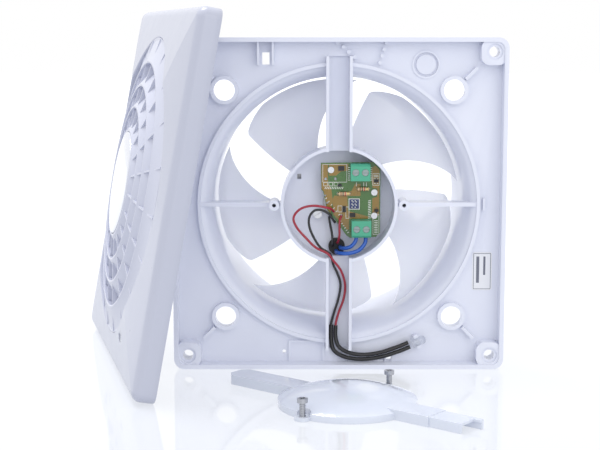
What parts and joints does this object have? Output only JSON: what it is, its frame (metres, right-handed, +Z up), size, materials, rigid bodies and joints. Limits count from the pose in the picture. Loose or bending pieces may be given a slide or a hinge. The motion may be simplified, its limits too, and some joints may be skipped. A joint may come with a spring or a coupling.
{
  "type": "bathroom extractor fan",
  "caption": "Square wall fan for a round duct, opened for service, with its louvred front cover and its wiring cover laid beside it.",
  "frame": {"origin": "on the floor, under the middle of the whole layout", "axes": "+Z is up; +Y runs back along the duct, away from the room; +X is to the right as seen from the room"},
  "size_m": [0.2556, 0.2593, 0.2067],
  "materials": {
    "base_plastic": "satin moulded plastic, cool white",
    "cover_plastic": "satin moulded plastic, cool white",
    "grille_plastic": "satin moulded plastic, cool white",
    "wiring_cover_plastic": "satin moulded plastic, pale blue-grey",
    "impeller_plastic": "glossy, slightly translucent white",
    "flange_metal": "die-cast",
    "screw_steel": "bright zinc",
    "black_screw": "blackened steel",
    "shaft_steel": "ground",
    "lamination_steel": "stacked sheet edges",
    "coil_former_plastic": "matt",
    "copper_winding": "enamelled wire",
    "bearing_steel": "polished",
    "clip_steel": "spring steel",
    "washer_bronze": "sintered bronze",
    "rotor_metal": "cast cage on steel",
    "board_green": "green solder resist",
    "resistor_body": "lacquered",
    "chip_black": "moulded epoxy",
    "sticker_blue": "printed paper",
    "terminal_green": "moulded nylon, blue-green",
    "terminal_steel": "plated",
    "clamp_brass": "plated brass",
    "grommet_rubber": "matt",
    "wire_blue": "PVC insulation",
    "wire_red": "PVC insulation",
    "wire_black": "PVC insulation",
    "sleeve_black": "heat-shrink",
    "lamp_clear": "clear epoxy",
    "lens_clear": "frosted window",
    "label_paper": "blank sticker"
  },
  "bodies": {
    "base": {"base_housing": "base_plastic", "motor_flange": "flange_metal", "flange_screws": "screw_steel", "stator_core": "lamination_steel", "coil_former": "coil_former_plastic", "stator_coils": "copper_winding", "front_bearing": "bearing_steel", "rear_bearing": "bearing_steel", "control_board": "board_green", "board_screws": "screw_steel", "resistors": "resistor_body", "chip_parts": "chip_black", "board_sticker": "sticker_blue", "mains_terminal": "terminal_green", "motor_terminal": "terminal_green", "wire_grommet": "grommet_rubber", "blue_wire_left": "wire_blue", "blue_wire_right": "wire_blue", "motor_lead_black": "wire_black", "motor_lead_red": "wire_red", "led_wire_red": "wire_red", "led_wire_black": "wire_black", "led_sleeve_red": "sleeve_black", "led_sleeve_black": "sleeve_black", "led_lamp": "lamp_clear", "led_clip": "base_plastic", "rating_label": "label_paper"},
    "impeller": {"shaft": "shaft_steel", "retaining_clip": "clip_steel", "thrust_washer": "washer_bronze", "rotor_ring": "rotor_metal", "impeller": "impeller_plastic"},
    "front_cover": {"front_cover": "cover_plastic", "louvre_grille": "grille_plastic", "centre_disc": "cover_plastic", "indicator_lens": "lens_clear"},
    "wiring_cover": {"wiring_cover": "wiring_cover_plastic"},
    "cover_screw_front": {"cover_screw_front": "black_screw"},
    "cover_screw_back": {"cover_screw_back": "black_screw"},
    "mains_screw_left": {"mains_screw_left": "terminal_steel"},
    "mains_screw_right": {"mains_screw_right": "terminal_steel"},
    "motor_screw_left": {"motor_screw_left": "terminal_steel"},
    "motor_screw_right": {"motor_screw_right": "terminal_steel"},
    "mains_clamp_left": {"mains_clamp_left": "clamp_brass"},
    "mains_clamp_right": {"mains_clamp_right": "clamp_brass"},
    "motor_clamp_left": {"motor_clamp_left": "clamp_brass"},
    "motor_clamp_right": {"motor_clamp_right": "clamp_brass"}
  },
  "joints": [
    {"name": "impeller_spin", "type": "hinge", "parent": "base", "child": "impeller", "pos_m": [0.033, 0.039, 0.095], "axis": [0, 1, 0], "continuous": true},
    {"name": "front_cover_lift", "type": "slide", "parent": "base", "child": "front_cover", "axis": [0, 0, 1], "range_m": [0, 0.22]},
    {"name": "wiring_cover_lift", "type": "slide", "parent": "base", "child": "wiring_cover", "axis": [0, 0, 1], "range_m": [0, 0.12]},
    {"name": "cover_screw_front_lift", "type": "slide", "parent": "wiring_cover", "child": "cover_screw_front", "axis": [0, 0, 1], "range_m": [0, 0.012]},
    {"name": "cover_screw_back_lift", "type": "slide", "parent": "wiring_cover", "child": "cover_screw_back", "axis": [0, 0, 1], "range_m": [0, 0.012]},
    {"name": "mains_screw_left_turn", "type": "hinge", "parent": "base", "child": "mains_screw_left", "pos_m": [0.04245, 0.005, 0.11365], "axis": [0, -1, 0], "range_deg": [0, 1080]},
    {"name": "mains_clamp_left_travel", "type": "slide", "parent": "base", "child": "mains_clamp_left", "axis": [0, 1, 0], "range_m": [0, 0.0015]},
    {"name": "mains_screw_right_turn", "type": "hinge", "parent": "base", "child": "mains_screw_right", "pos_m": [0.04795, 0.005, 0.11365], "axis": [0, -1, 0], "range_deg": [0, 1080]},
    {"name": "mains_clamp_right_travel", "type": "slide", "parent": "base", "child": "mains_clamp_right", "axis": [0, 1, 0], "range_m": [0, 0.0015]},
    {"name": "motor_screw_left_turn", "type": "hinge", "parent": "base", "child": "motor_screw_left", "pos_m": [0.04315, 0.005, 0.081], "axis": [0, -1, 0], "range_deg": [0, 1080]},
    {"name": "motor_clamp_left_travel", "type": "slide", "parent": "base", "child": "motor_clamp_left", "axis": [0, 1, 0], "range_m": [0, 0.0015]},
    {"name": "motor_screw_right_turn", "type": "hinge", "parent": "base", "child": "motor_screw_right", "pos_m": [0.04865, 0.005, 0.081], "axis": [0, -1, 0], "range_deg": [0, 1080]},
    {"name": "motor_clamp_right_travel", "type": "slide", "parent": "base", "child": "motor_clamp_right", "axis": [0, 1, 0], "range_m": [0, 0.0015]}
  ],
  "couplings": [
    {"joint": "mains_screw_left_turn", "follows": "mains_clamp_left_travel", "rad_per_m": 12566},
    {"joint": "mains_screw_right_turn", "follows": "mains_clamp_right_travel", "rad_per_m": 12566},
    {"joint": "motor_screw_left_turn", "follows": "motor_clamp_left_travel", "rad_per_m": 12566},
    {"joint": "motor_screw_right_turn", "follows": "motor_clamp_right_travel", "rad_per_m": 12566}
  ]
}
